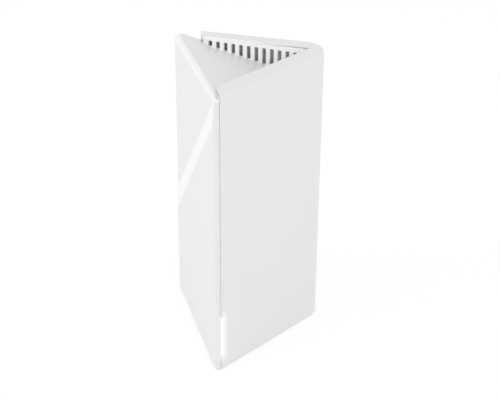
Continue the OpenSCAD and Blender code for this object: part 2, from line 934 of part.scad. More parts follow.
module power_plunger() {
  color("ivory") translate([power_x, board_back + power_body_len - plunger_in, button_z])
    back_box(power_stem, power_stem, plunger_in + power_travel + plunger_out);
}

module power_button() {
  stem_y = board_back + power_body_len + power_travel + plunger_out;
  flange_y = back_y - wall - button_gap - flange_h;
  rim = 2 * pair_flange;
  color("gainsboro") {
    translate([power_x, flange_y, button_z])
      back_block(power_w, power_h, power_r, back_y + power_proud - flange_y);
    translate([power_x, flange_y, button_z]) back_box(power_w + rim, power_h + rim, flange_h);
    translate([power_x, stem_y, button_z])
      back_box(power_stem, power_stem, flange_y - stem_y + flange_h / 2);
  }
}

rear_housing();
front_cover();
vent_grille();
light_bar();
light_board();
light_chips();
base_cover();
rubber_feet();
base_screws();
antenna_frame();
frame_screws();
antenna_boards();
main_board();
board_screws();
processor();
memory_chips();
thermal_pad();
heat_sink();
sink_pins();
radio_shields();
network_transformers();
capacitors();
network_jacks();
jack_shields();
jack_contacts();
power_inlet();
inlet_pin();
inlet_spring();
pair_switch();
pair_plunger();
pair_button();
reset_switch();
reset_button();
power_switch();
power_plunger();
power_button();
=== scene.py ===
"""Upright triangular wireless router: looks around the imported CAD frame."""

import json
import math

import bmesh
import bpy
from mathutils import Matrix, Vector


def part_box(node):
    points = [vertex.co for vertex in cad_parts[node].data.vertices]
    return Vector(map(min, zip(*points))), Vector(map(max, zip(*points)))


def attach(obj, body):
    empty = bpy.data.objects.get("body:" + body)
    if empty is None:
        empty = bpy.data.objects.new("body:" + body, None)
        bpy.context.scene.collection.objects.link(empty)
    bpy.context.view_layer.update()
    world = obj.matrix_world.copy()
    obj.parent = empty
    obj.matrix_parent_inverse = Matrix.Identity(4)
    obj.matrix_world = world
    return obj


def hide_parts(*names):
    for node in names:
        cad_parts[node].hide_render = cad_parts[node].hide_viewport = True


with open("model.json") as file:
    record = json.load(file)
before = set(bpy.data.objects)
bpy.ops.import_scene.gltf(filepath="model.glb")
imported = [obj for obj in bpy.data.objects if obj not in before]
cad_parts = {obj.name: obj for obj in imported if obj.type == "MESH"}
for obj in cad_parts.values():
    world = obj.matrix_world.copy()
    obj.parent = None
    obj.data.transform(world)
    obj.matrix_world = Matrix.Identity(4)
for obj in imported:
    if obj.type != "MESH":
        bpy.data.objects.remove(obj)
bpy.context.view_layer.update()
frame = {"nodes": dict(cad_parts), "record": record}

MM = 0.001
BODY = "router"

# ---------------------------------------------------------------- places taken from the frame
record = frame["record"]
mounts = {mount["name"]: Vector(mount["pos_m"]) for mount in record["mounts"]}
shell_low, shell_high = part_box("rear_housing")
height = shell_high.z
shell_z = shell_low.z
back_y = shell_high.y
front_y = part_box("front_cover")[0].y

HALF = math.radians(30)
FRONT_R = 2.9 * MM
# The side faces would meet at this sharp corner, in front of the first foot
apex = Vector((mounts["base_rest"].x, front_y + FRONT_R - FRONT_R / math.sin(HALF), 0))
RIGHT_IN = Vector((-math.cos(HALF), math.sin(HALF), 0))
LEFT_IN = Vector((math.cos(HALF), math.sin(HALF), 0))
RIGHT_ALONG = Vector((math.sin(HALF), math.cos(HALF), 0))
LEFT_ALONG = Vector((-math.sin(HALF), math.cos(HALF), 0))


def from_right(p):
    """Distance of a point inwards from the right face."""
    return (p - apex).dot(RIGHT_IN)


def from_left(p):
    """Distance of a point inwards from the left face."""
    return (p - apex).dot(LEFT_IN)


# ---------------------------------------------------------------- camera, fitted to the photograph
LENS = 93.6
SENSOR = 36.0
TILT = math.radians(29.509)
TURN = math.radians(14.160)
ROLL = math.radians(0.348)
AIM_AHEAD = 60 * MM        # behind the sharp corner
AIM_HEIGHT = 0.515         # of the height
AIM_SIDE = 0.0428          # of the height
DISTANCE = 4.278           # heights


def add_camera():
    back = Vector((math.sin(TURN) * math.cos(TILT), -math.cos(TURN) * math.cos(TILT), math.sin(TILT)))
    level = Vector((math.cos(TURN), math.sin(TURN), 0))
    upright = back.cross(level)
    right = level * math.cos(ROLL) + upright * math.sin(ROLL)
    up = upright * math.cos(ROLL) - level * math.sin(ROLL)
    aim = apex + Vector((0, AIM_AHEAD, AIM_HEIGHT * height))
    place = aim + level * AIM_SIDE * height + back * DISTANCE * height
    data = bpy.data.cameras.new("camera")
    data.lens = LENS
    data.sensor_width = SENSOR
    camera = bpy.data.objects.new("camera", data)
    camera.matrix_world = Matrix.Translation(place) @ Matrix((right, up, back)).transposed().to_4x4()
    bpy.context.scene.collection.objects.link(camera)
    bpy.context.scene.camera = camera


add_camera()


# ---------------------------------------------------------------- node helpers
WEAR = "wear"              # on the shell's vertices: 0 on flat faces, 1 at the middle of a round


class Shader:
    """A material being built: nodes are made by short calls that return a socket."""

    def __init__(self, name):
        self.material = bpy.data.materials.new(name)
        self.material.use_nodes = True
        self.nodes = self.material.node_tree.nodes
        self.links = self.material.node_tree.links
        self.bsdf = self.nodes["Principled BSDF"]
        self.output = self.nodes["Material Output"]
        self.place = self.nodes.new("ShaderNodeTexCoord").outputs["Object"]

    def feed(self, socket, value):
        """Links another node's socket into this one, or sets a plain value on it."""
        if isinstance(value, bpy.types.NodeSocket):
            self.links.new(value, socket)
        else:
            socket.default_value = value

    def add(self, kind, inputs=None, **values):
        node = self.nodes.new(kind)
        for key, value in values.items():
            setattr(node, key, value)
        for key, value in (inputs or {}).items():
            self.feed(node.inputs[key], value)
        return node

    def noise(self, scale, detail=2.0, roughness=0.5, vector=None):
        inputs = {"Vector": vector or self.place, "Scale": scale, "Detail": detail, "Roughness": roughness}
        return self.add("ShaderNodeTexNoise", inputs).outputs["Fac"]

    def speckle(self, scale, vector=None):
        inputs = {"Vector": vector or self.place, "Scale": scale}
        return self.add("ShaderNodeTexVoronoi", inputs).outputs["Distance"]

    def span(self, value, low, high, to_low=0.0, to_high=1.0):
        inputs = {"Value": value, "From Min": low, "From Max": high, "To Min": to_low, "To Max": to_high}
        return self.add("ShaderNodeMapRange", inputs, clamp=True).outputs["Result"]

    def spread(self, noise, to_low, to_high):
        """Stretches the middle of a noise, where most of its values lie, over a range."""
        return self.span(noise, 0.3, 0.7, to_low, to_high)

    def math(self, kind, a, b=0.0):
        return self.add("ShaderNodeMath", {0: a, 1: b}, operation=kind).outputs["Value"]

    def dot(self, place, way):
        inputs = {0: place, 1: way}
        return self.add("ShaderNodeVectorMath", inputs, operation="DOT_PRODUCT").outputs["Value"]

    def mix(self, share, a, b):
        # Of the node's sockets, 6 and 7 are the two colours and output 2 is their mix
        return self.add("ShaderNodeMix", {0: share, 6: a, 7: b}, data_type="RGBA").outputs[2]

    def edges(self):
        """How far a place is a worn, outward edge: the middle of a round of the shell."""
        return self.add("ShaderNodeAttribute", attribute_name=WEAR).outputs["Fac"]

    def bump(self, value, strength, distance, normal=None):
        inputs = {"Height": value, "Strength": strength, "Distance": distance}
        if normal:
            inputs["Normal"] = normal
        return self.add("ShaderNodeBump", inputs).outputs["Normal"]

    def set(self, **values):
        for key, value in values.items():
            self.feed(self.bsdf.inputs[key.replace("_", " ")], value)
        return self.material


WHITE = (1.0, 1.0, 1.0)


def grey(value, tint=WHITE):
    return (value * tint[0], value * tint[1], value * tint[2], 1)


# ---------------------------------------------------------------- materials
FLOW_TONES = (0.985, 1.012)    # times the tone, along the flow marks
WORN_TONE = 1.03               # times the tone, on worn edges
WORN_GLOSS = 0.12              # less rough there


def plastic(name, tone, tint, roughness, grain=1.0, extra=None):
    """Satin moulded plastic: fine spark grain, faint flow marks, slightly rubbed edges."""
    s = Shader(name)
    spark = s.noise(2600, 3.0, 0.6)
    cells = s.speckle(1500)
    flow = s.noise(14, 2.0, 0.55)
    worn = s.math("MULTIPLY", s.edges(), s.span(s.noise(70, 2.0, 0.5), 0.35, 0.70))
    dark, light, rubbed = (grey(min(tone * share, 1.0), tint) for share in (*FLOW_TONES, WORN_TONE))
    base = s.mix(s.math("MULTIPLY", worn, 0.5), s.mix(flow, dark, light), rubbed)
    rough = s.math("ADD", s.spread(flow, roughness - 0.04, roughness + 0.03),
                   s.spread(spark, -0.03 * grain, 0.03 * grain))
    rough = s.math("SUBTRACT", rough, s.math("MULTIPLY", worn, WORN_GLOSS))
    relief = s.math("ADD", s.math("MULTIPLY", spark, 0.6), s.math("MULTIPLY", cells, 0.4))
    normal = s.bump(flow, 0.02, 0.4 * MM, s.bump(relief, 0.10 * grain, 0.03 * MM))
    s.set(Base_Color=base, Roughness=rough, Normal=normal)
    if extra:
        extra(s)
    return s.material


light_low, light_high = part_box("light_bar")
LIGHT_W = 3.4 * MM
LIGHT_ALONG = 6.42 * MM    # along the right face, from the sharp corner to the light's middle
light_line = apex + RIGHT_ALONG * LIGHT_ALONG
GLOW_REACH = 5.5 * MM
GLOW_STRENGTH = 0.19
COVER_GLOW = 0.4           # the share of it that reaches the front cover, across the seam


def glow(s):
    """Light that bleeds through the plastic beside the status light."""
    foot = Vector((light_line.x, light_line.y, light_low.z + LIGHT_W / 2))
    tall = light_high.z - light_low.z - LIGHT_W
    offset = s.add("ShaderNodeVectorMath", {0: s.place, 1: foot}, operation="SUBTRACT").outputs[0]
    parts = s.add("ShaderNodeSeparateXYZ", {0: offset})
    above = s.math("MAXIMUM", s.math("SUBTRACT", parts.outputs["Z"], tall), 0.0)
    below = s.math("MAXIMUM", s.math("MULTIPLY", parts.outputs["Z"], -1.0), 0.0)
    off_z = s.math("ADD", above, below)
    side = s.add("ShaderNodeCombineXYZ", {0: parts.outputs["X"], 1: parts.outputs["Y"], 2: off_z})
    distance = s.add("ShaderNodeVectorMath", {0: side.outputs[0]}, operation="LENGTH").outputs["Value"]
    near = s.span(distance, LIGHT_W / 2, LIGHT_W / 2 + GLOW_REACH, 1.0, 0.0)
    share = s.span(s.dot(offset, RIGHT_ALONG), -LIGHT_W / 2, LIGHT_W / 2, COVER_GLOW, 1.0)
    strength = s.math("MULTIPLY", share, GLOW_STRENGTH)
    s.set(Emission_Strength=s.math("MULTIPLY", s.math("POWER", near, 2.0), strength),
          Emission_Color=grey(1.0))


housing_plastic = plastic("white_satin_plastic", 0.86, WHITE, 0.40, extra=glow)
# The band's tone, lighter than the housing's, is a painted highlight on the fold
facet_painted_highlight_plastic = plastic("white_facet_painted_highlight_plastic", 0.95, WHITE, 0.24, 0.6)
# A lighter copy of the white plastic for the well's walls and the grille: painted light against the well's
# shade
well_painted_light_plastic = plastic("white_well_painted_light_plastic", 0.98, WHITE, 0.30, 0.25)
base_plastic = plastic("white_matt_plastic", 0.78, (1.0, 1.0, 0.995), 0.55, 1.6)
button_plastic = plastic("button_plastic", 0.82, WHITE, 0.34, 0.7)
frame_plastic = plastic("inner_frame_plastic", 0.7, (1.0, 0.99, 0.97), 0.5)
pin_plastic = plastic("nylon_pin_plastic", 0.75, (1.0, 0.99, 0.95), 0.45)
plunger_plastic = plastic("ivory_plastic", 0.62, (1.0, 0.96, 0.86), 0.45)
socket_plastic = plastic("black_socket_plastic", 0.02, (1.0, 1.0, 1.05), 0.35, 0.8)
chip_plastic = plastic("black_chip_resin", 0.03, (1.0, 1.0, 1.03), 0.6, 2.0)


def rubber(name, tone):
    """Soft matt rubber with open pores and a little dust."""
    s = Shader(name)
    pores = s.noise(1800, 4.0, 0.7)
    dust = s.noise(60, 3.0, 0.6)
    base = s.mix(s.span(dust, 0.45, 0.75), grey(tone), grey(tone * 1.5, (1.0, 0.99, 0.97)))
    return s.set(Base_Color=base, Roughness=s.spread(pores, 0.7, 0.88), Specular_IOR_Level=0.35,
                 Normal=s.bump(pores, 0.35, 0.06 * MM))


TARNISH = 0.12             # half the share by which tarnish darkens, and how much rougher it is


def metal(name, colour, roughness, grain=(1, 1, 1)):
    """Bare metal with a rolled or drawn grain and a little tarnish."""
    s = Shader(name)
    stretched = s.add("ShaderNodeMapping", {"Vector": s.place, "Scale": grain}).outputs["Vector"]
    streaks = s.noise(700, 3.0, 0.6, stretched)
    tarnish = s.noise(45, 3.0, 0.6)
    dark = tuple(c * (1 - TARNISH * 2) for c in colour) + (1,)
    base = s.mix(s.span(tarnish, 0.4, 0.75), tuple(colour) + (1,), dark)
    rough = s.math("ADD", s.spread(streaks, roughness - 0.06, roughness + 0.08),
                   s.math("MULTIPLY", tarnish, TARNISH))
    return s.set(Base_Color=base, Roughness=rough, Normal=s.bump(streaks, 0.12, 0.03 * MM), Metallic=1.0)


rubber_grey = rubber("foot_rubber", 0.09)
pad_silicone = rubber("thermal_silicone", 0.35)
tin = metal("tinned_sheet", (0.72, 0.72, 0.70), 0.30)
screw_steel = metal("plated_steel", (0.58, 0.58, 0.60), 0.28)
gold = metal("gold_plate", (0.86, 0.62, 0.26), 0.22)
aluminium = metal("extruded_aluminium", (0.70, 0.71, 0.73), 0.36, (1, 1, 0.05))
can_metal = metal("sleeved_can", (0.16, 0.18, 0.22), 0.35)


def solder_mask(name):
    """Circuit board: green mask over copper traces, with tinned holes."""
    s = Shader(name)
    lanes = s.add("ShaderNodeMapping", {"Vector": s.place, "Scale": (1, 0, 1)}).outputs["Vector"]
    traces = s.add("ShaderNodeTexBrick", {"Vector": lanes, "Scale": 190.0, "Mortar Size": 0.08},
                   offset=0.5).outputs["Fac"]
    holes = s.span(s.speckle(160, lanes), 0.14, 0.10)
    cloud = s.noise(400, 2.0)
    mask = s.mix(s.math("MULTIPLY", traces, 0.6), (0.012, 0.075, 0.032, 1), (0.02, 0.13, 0.05, 1))
    base = s.mix(holes, mask, (0.55, 0.54, 0.5, 1))
    relief = s.math("ADD", s.math("MULTIPLY", traces, 0.5), cloud)
    return s.set(Base_Color=base, Roughness=s.spread(cloud, 0.26, 0.36),
                 Normal=s.bump(relief, 0.2, 0.04 * MM))


END_FADE = 2.8 * MM
LOW_END_FADE = 4.6 * MM
LIGHT_CORE = 0.9 * MM      # to each side of the light's middle line, where it is brightest
LIGHT_EDGE = 0.35          # the share of that brightness at its edges


def lit_diffuser(name, strength):
    """Frosted light guide that glows most along its middle and fades at its ends."""
    s = Shader(name)
    frost = s.noise(2400, 3.0, 0.6)
    parts = s.add("ShaderNodeSeparateXYZ", {0: s.place})
    ends = s.math("MULTIPLY", s.span(parts.outputs["Z"], light_low.z, light_low.z + LOW_END_FADE),
                  s.span(parts.outputs["Z"], light_high.z, light_high.z - END_FADE))
    across = s.math("SUBTRACT", s.dot(s.place, RIGHT_ALONG), light_line.dot(RIGHT_ALONG))
    core = s.span(s.math("ABSOLUTE", across), LIGHT_CORE, LIGHT_W / 2, 1.0, LIGHT_EDGE)
    level = s.math("MULTIPLY", s.math("MULTIPLY", ends, core), s.span(frost, 0.2, 0.8, 0.98, 1.02))
    return s.set(Base_Color=grey(0.85), Roughness=s.spread(frost, 0.3, 0.4), Emission_Color=grey(1.0),
                 Normal=s.bump(frost, 0.1, 0.03 * MM), Emission_Strength=s.math("MULTIPLY", level, strength))


board_green = solder_mask("solder_mask")
diffuser = lit_diffuser("lit_diffuser", 0.32)
phosphor = plastic("phosphor", 0.6, (1.0, 0.85, 0.35), 0.4)


# ---------------------------------------------------------------- mesh helpers
WELD = 0.0001 * MM
SHARP_TURN = math.radians(25)      # edges that turn outwards by less aren't rounded
SMOOTH_TURN = math.radians(20)     # edges that turn by less are shaded smoothly
FLAT_TURN = math.radians(0.3)      # faces that turn by less are made one
COVER_FLAT_TURN = math.radians(0.2)
SLACK = 0.01 * MM
BEVEL_SEGMENTS = 3
FLAT_WEIGHT = 60


def clean_copy(node, flat_turn):
    """The CAD node's mesh, welded, with its flat faces made whole."""
    mesh = bmesh.new()
    mesh.from_mesh(frame["nodes"][node].data)
    mesh.verts.layers.float.new(WEAR)
    bmesh.ops.remove_doubles(mesh, verts=mesh.verts, dist=WELD)
    bmesh.ops.dissolve_limit(mesh, angle_limit=flat_turn, verts=mesh.verts, edges=mesh.edges,
                             delimit={"NORMAL"})
    return mesh


def turn_of(edge):
    """Angle between an edge's two faces; positive where the edge points outwards."""
    return edge.calc_face_angle_signed(0.0)


def make_piece(name, mesh, node, materials, width):
    """Turns a mesh with edge weights into a piece with rounded edges that stands for a CAD node."""
    data = bpy.data.meshes.new(name)
    mesh.to_mesh(data)
    mesh.free()
    data.shade_smooth()
    for material in materials:
        data.materials.append(material)
    piece = bpy.data.objects.new(name, data)
    bpy.context.scene.collection.objects.link(piece)
    bevel = piece.modifiers.new("rounds", "BEVEL")
    bevel.limit_method = "WEIGHT"
    bevel.width = width
    bevel.segments = BEVEL_SEGMENTS
    bevel.use_clamp_overlap = False
    bevel.miter_outer = "MITER_ARC"
    bevel.harden_normals = False
    add_weighted(piece)
    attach(piece, BODY)
    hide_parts(node)


def add_weighted(piece):
    """Shades rounds smoothly without bending the flat faces beside them."""
    weighted = piece.modifiers.new("flat faces stay flat", "WEIGHTED_NORMAL")
    weighted.mode = "FACE_AREA"
    weighted.weight = FLAT_WEIGHT
    weighted.keep_sharp = True


def round_edges(mesh, width, radius_of):
    """Gives each edge the share of the bevel width that radius_of asks for; others turn sharp."""
    layers = mesh.edges.layers.float
    share = layers.get("bevel_weight_edge") or layers.new("bevel_weight_edge")
    for edge in mesh.edges:
        if len(edge.link_faces) != 2:
            continue
        turn = turn_of(edge)
        radius = radius_of(edge, turn)
        if radius:
            edge[share] = radius / width
        edge.smooth = radius > 0 or abs(turn) < SMOOTH_TURN


def is_level(edge, z):
    return all(abs(v.co.z - z) < SLACK for v in edge.verts)


def middle_of(edge):
    return (edge.verts[0].co + edge.verts[1].co) / 2


LEFT_R = 6.5 * MM          # of the upright corner between the left face and the back
RIGHT_R = 16 * MM          # of the one between the right face and the back
BACK_IN = Vector((0, -1, 0))


def from_back(p):
    """Distance of a point inwards from the back face."""
    return back_y - p.y


def outline_at(p):
    """Distance inwards from the rounded outline of the body, and the way out."""
    sides = ((from_left, LEFT_IN), (from_right, RIGHT_IN), (from_back, BACK_IN))
    for one, two, radius in ((0, 1, FRONT_R), (0, 2, LEFT_R), (1, 2, RIGHT_R)):
        first, second = sides[one], sides[two]
        lean = first[1].dot(second[1])
        # Steps to the corner's centre, where both faces are one radius away
        a, b = radius - first[0](p), radius - second[0](p)
        reach = (first[1] * (a - b * lean) + second[1] * (b - a * lean)) / (1 - lean * lean)
        if reach.dot(second[1] - first[1] * lean) > 0 and reach.dot(first[1] - second[1] * lean) > 0:
            return radius - reach.length, -reach.normalized()
    near = min(sides, key=lambda side: side[0](p))
    return near[0](p), -near[1]


# ---------------------------------------------------------------- rounded top edges
ROUND_STEPS = 6


def plan(v):
    return Vector((v.x, v.y, 0))


def chain_of(edges):
    """The edges' vertices in order, from one open end to the other."""
    near = {}
    for edge in edges:
        for v in edge.verts:
            near.setdefault(v, []).append(edge)
    ends = sorted((v for v in near if len(near[v]) == 1), key=lambda v: tuple(v.co))
    chain = [ends[0]]
    used = set()
    while True:
        onward = [edge for edge in near[chain[-1]] if edge not in used]
        if not onward:
            return chain
        used.add(onward[0])
        chain.append(onward[0].other_vert(chain[-1]))


SMOOTH_REACH = 1.6 * MM    # to each side, over which the way out is averaged


def smooth_ways(chain, walls):
    """The way out at each vertex of the chain, averaged over the walls close by."""
    places = [0.0]
    for one, two in zip(chain, chain[1:]):
        places.append(places[-1] + plan(two.co - one.co).length)
    ways = []
    for place in places:
        total = Vector((0, 0, 0))
        for i, wall in enumerate(walls):
            low = max(places[i], place - SMOOTH_REACH)
            high = min(places[i + 1], place + SMOOTH_REACH)
            if high > low:
                total += wall * (high - low)
        ways.append(total.normalized())
    return ways


def end_way(way, ends):
    """Keeps the last row on the flat face that ends the strip."""
    if not ends:
        return way
    along = Vector((0, 0, 1)).cross(plan(ends[0].normal).normalized())
    return along / along.dot(way)


def top_chain(mesh, is_top, is_wall):
    """The vertices along the edge between a top and the walls, in order."""
    edges = []
    for edge in mesh.edges:
        if len(edge.link_faces) == 2:
            one, two = edge.link_faces
            if (is_top(one) and is_wall(two)) or (is_top(two) and is_wall(one)):
                edges.append(edge)
    return chain_of(edges)


def shared_edge(one, two):
    return next(edge for edge in one.link_edges if edge.other_vert(one) is two)


CUT_PLACES = (2 * MM, 8 * MM, 18 * MM)     # from each end of a long edge
LONG_EDGE = 45 * MM
TINY = 0.49 * MM           # walls that are narrower go into the round
BELOW_ROUND = 0.1 * MM


def cut_edge(one, two, places):
    """Adds vertices to the edge between two vertices, at lengths counted from the first one."""
    start = one.co.copy()
    way = (two.co - one.co).normalized()
    near = one
    for place in places:
        step = place - (near.co - start).length
        edge = shared_edge(near, two)
        made = bmesh.utils.edge_split(edge, near, step / edge.calc_length())[1]
        made.co = start + way * place
        near = made


def fall(up, out, radius):
    """How far below the sharp edge a round between a wall and a sloping top begins."""
    rise = up.dot(out) / up.z
    return radius * (math.sqrt(1 + rise * rise) - rise)


def prepare_top(mesh, chain, is_top, is_wall, radius_at):
    """Cuts the long edges near their ends, and clears tiny walls that the round would swallow."""
    up = next(face.normal.copy() for face in chain[0].link_faces if is_top(face))
    for one, two in zip(chain, chain[1:]):
        length = (two.co - one.co).length
        if length > LONG_EDGE:
            cut_edge(one, two, CUT_PLACES + tuple(length - place for place in reversed(CUT_PLACES)))
    kept = [chain[0]]
    swallowed = {}
    for v in chain[1:]:
        if (v.co - kept[-1].co).length < TINY:
            swallowed[v] = kept[-1]
        else:
            kept.append(v)
    on_walls = {v for face in mesh.faces if is_wall(face) for v in face.verts}.difference(chain)
    for w in (v for v in mesh.verts if v in on_walls):
        near = min(chain, key=lambda v: plan(v.co - w.co).length)
        below = near.co.z - w.co.z
        deepest = fall(up, outline_at(near.co)[1], radius_at(near.co)) + BELOW_ROUND
        if plan(near.co - w.co).length < TINY and 0 < below < deepest:
            swallowed[w] = swallowed.get(near, near)
    bmesh.ops.weld_verts(mesh, targetmap=swallowed)
    mesh.normal_update()


def round_row(v, up, step, radius):
    """The points of the round at one vertex, from the wall over to the top."""
    rise = up.dot(step) / up.z
    middle_z = -fall(up, step, radius)
    last = math.atan2(1, -rise)
    row = []
    for k in range(ROUND_STEPS + 1):
        angle = math.pi + (last - math.pi) * k / ROUND_STEPS
        inwards = radius + radius * math.cos(angle)
        row.append(v.co - step * inwards + Vector((0, 0, middle_z + radius * math.sin(angle))))
    return row


def round_off(mesh, is_top, is_wall, radius_at, material_index=0):
    """Rounds the edge between a flat top and the walls below it; each wall's top row moves down."""
    prepare_top(mesh, top_chain(mesh, is_top, is_wall), is_top, is_wall, radius_at)
    chain = top_chain(mesh, is_top, is_wall)
    walls = []
    for one, two in zip(chain, chain[1:]):
        sides = [face.normal for face in shared_edge(one, two).link_faces if not is_top(face)]
        walls.append(plan(sides[0]).normalized())
    rows = []
    for i, (v, way) in enumerate(zip(chain, smooth_ways(chain, walls))):
        top = next(face for face in v.link_faces if is_top(face))
        ends = end_faces(v, is_top, is_wall) if i in (0, len(chain) - 1) else []
        rows.append((v, round_row(v, top.normal, end_way(way, ends), radius_at(v.co)), ends))
    replace_edge_by_rows(mesh, rows, is_top, material_index)


def end_faces(v, is_top, is_wall):
    """The face that the strip ends on: it meets the top, but it's no outer wall."""
    beside_top = [edge for edge in v.link_edges if any(is_top(face) for face in edge.link_faces)]
    faces = [face for edge in beside_top for face in edge.link_faces]
    return [face for face in faces if not is_top(face) and not is_wall(face)]


def replace_edge_by_rows(mesh, rows, is_top, material_index):
    """Puts each row of points in place of its vertex: the first on the wall, the last on the top."""
    swaps = {}
    strips = []
    wear = mesh.verts.layers.float[WEAR]
    for v, row, ends in rows:
        made = [mesh.verts.new(p) for p in row]
        for k, vert in enumerate(made):
            vert[wear] = math.sin(math.pi * k / ROUND_STEPS)
        strips.append(made)
        for face in v.link_faces:
            new = made if face in ends else [made[-1] if is_top(face) else made[0]]
            swaps.setdefault(face, {})[v] = new
    corners = []
    for face in swaps:
        loop = []
        count = len(face.verts)
        for i, v in enumerate(face.verts):
            new = swaps[face].get(v)
            if new is None:
                loop.append(v)
            elif len(new) == 1:
                loop.append(new[0])
            else:
                before = face.verts[i - 1]
                after = face.verts[(i + 1) % count]
                loop.extend(reversed(new) if top_first(v, before, after, new) else new)
        corners.append((loop, face.smooth, face.material_index))
    bmesh.ops.delete(mesh, geom=list(swaps), context="FACES_ONLY")
    for loop, smooth, old_index in corners:
        face = mesh.faces.new(loop)
        face.smooth = smooth
        face.material_index = old_index
    for one, two in zip(strips, strips[1:]):
        for k in range(ROUND_STEPS):
            mesh.faces.new((one[k], two[k], two[k + 1], one[k + 1])).material_index = material_index
    bmesh.ops.delete(mesh, geom=[v for v in mesh.verts if not v.link_faces], context="VERTS")
    bmesh.ops.recalc_face_normals(mesh, faces=mesh.faces)


def top_first(v, before, after, new):
    """Whether the vertex before lies along the top, next to the row's last point."""
    inwards = new[-1].co - v.co
    return (before.co - v.co).normalized().dot(inwards) > (after.co - v.co).normalized().dot(inwards)


# ---------------------------------------------------------------- outer mouldings
DECK_TILT = math.radians(15.4)
DECK_UP = Vector((math.sin(DECK_TILT) * LEFT_IN.x, math.sin(DECK_TILT) * LEFT_IN.y, math.cos(DECK_TILT)))
CREST_R = 3.2 * MM
CREST_CORNER_R = 2.0 * MM
CREST_EASE = (6 * MM, 18 * MM)     # along the left face, from the corner's radius to the full one
RIM_R = 2.2 * MM
SMALL_R = 0.8 * MM
BOTTOM_R = 0.8 * MM
OPENING_R = 0.25 * MM
OPENINGS_BELOW = 0.98      # of the height
SAME_WAY = 0.9995          # the least product of two normals that point the same way
ROUGHLY = 0.9              # and of two that do so roughly
FACET_LEAN = (0.02, 0.06)  # how far the normals of the folded band lean upwards
RECESS = 1.6 * MM          # more than the fold's depth
OUTWARDS = 0.6             # the least product of a side's normal and the way out


def on_deck(face):
    return face.normal.dot(DECK_UP) > SAME_WAY


def on_rim_top(face):
    return face.normal.z > SAME_WAY and face.calc_center_median().z > height - SLACK


def is_side(face):
    """A wall face of the outside, the shallow recess of the left face included."""
    if abs(face.normal.z) > FACET_LEAN[1]:
        return False
    inwards, out = outline_at(face.calc_center_median())
    return inwards < RECESS and face.normal.dot(out) > OUTWARDS


def crest_radius(p):
    start, end = CREST_EASE
    share = min(max(((p - apex).dot(LEFT_ALONG) - start) / (end - start), 0.0), 1.0)
    return CREST_CORNER_R + (CREST_R - CREST_CORNER_R) * share


FOLD_TURN = (math.radians(1.5), math.radians(6))
FOLD_LONG = 20 * MM
# This slot holds the band's lighter material, a painted highlight
FACET = 1                  # place in the front cover's list of materials


def is_fold(edge):
    """One of the two long, faint edges of the band across the left face."""
    if len(edge.link_faces) != 2 or edge.calc_length() < FOLD_LONG:
        return False
    return FOLD_TURN[0] < abs(turn_of(edge)) < FOLD_TURN[1] and from_left(middle_of(edge)) < RECESS


def in_band(face):
    """A face of the folded band across the left face."""
    return FACET_LEAN[0] < face.normal.z < FACET_LEAN[1] and face.normal.dot(LEFT_IN) < -ROUGHLY


def cover_radius(edge, turn):
    side = any(is_side(face) for face in edge.link_faces)
    return BOTTOM_R if side and turn >= SHARP_TURN and is_level(edge, shell_z) else 0


def front_cover():
    mesh = clean_copy("front_cover", COVER_FLAT_TURN)
    round_off(mesh, on_deck, is_side, crest_radius, FACET)
    round_edges(mesh, BOTTOM_R, cover_radius)
    for edge in mesh.edges:
        if is_fold(edge):
            edge.smooth = False
    # The band's faces take the lighter material: a painted highlight on the fold
    for face in filter(in_band, mesh.faces):
        face.material_index = FACET
    materials = [housing_plastic, facet_painted_highlight_plastic]
    make_piece("front_cover_shell", mesh, "front_cover", materials, BOTTOM_R)


def housing_radius(edge, turn):
    if turn < SHARP_TURN:
        return 0
    if is_level(edge, height):
        return SMALL_R
    if any(is_side(face) for face in edge.link_faces):
        if is_level(edge, shell_z):
            return BOTTOM_R
        if middle_of(edge).z < OPENINGS_BELOW * height:
            return OPENING_R
    return 0


WELL_ABOVE = 0.95          # of the height
WELL_LEAN = 0.3            # the most that a wall's normal leans upwards
WELL_OUTWARDS = 0.5        # the most that it points outwards
# This slot takes the lighter copy that paints light into the well
WELL = 1                   # place in the rear housing's list of materials


def is_well_wall(face):
    """An upright face of the well in the top: the steps of the rim and its inner sides."""
    middle = face.calc_center_median()
    if abs(face.normal.z) > WELL_LEAN or middle.z < WELL_ABOVE * height:
        return False
    return face.normal.dot(outline_at(middle)[1]) < WELL_OUTWARDS


def rear_housing():
    mesh = clean_copy("rear_housing", FLAT_TURN)
    round_off(mesh, on_rim_top, is_side, lambda p: RIM_R)
    round_off(mesh, on_deck, is_side, crest_radius)
    round_edges(mesh, SMALL_R, housing_radius)
    # The well's upright faces take the lighter copy: painted light against the well's shade
    for face in filter(is_well_wall, mesh.faces):
        face.material_index = WELL
    materials = [housing_plastic, well_painted_light_plastic]
    make_piece("rear_housing_shell", mesh, "rear_housing", materials, SMALL_R)


GRILLE_R = 0.25 * MM
GRILLE_STEPS = 5
SLOT_CORNER_R = 0.85 * MM
SLOT_CORNER_STEPS = 5


def is_slot_corner(edge):
    """One of the four inner edges that run through the plate at a slot's corners."""
    way = (edge.verts[1].co - edge.verts[0].co).normalized()
    return abs(way.y) > ROUGHLY and turn_of(edge) < -SHARP_TURN


def planes_of(mesh):
    """The plate's front and back planes, as normal and place, from the faces at the slots' ends."""
    planes = {}
    for edge in mesh.edges:
        if is_slot_corner(edge):
            for face in edge.verts[0].link_faces[:] + edge.verts[1].link_faces[:]:
                if abs(face.normal.y) > ROUGHLY:
                    planes[face.normal.y > 0] = (face.normal.copy(), face.normal.dot(face.verts[0].co))
    return planes


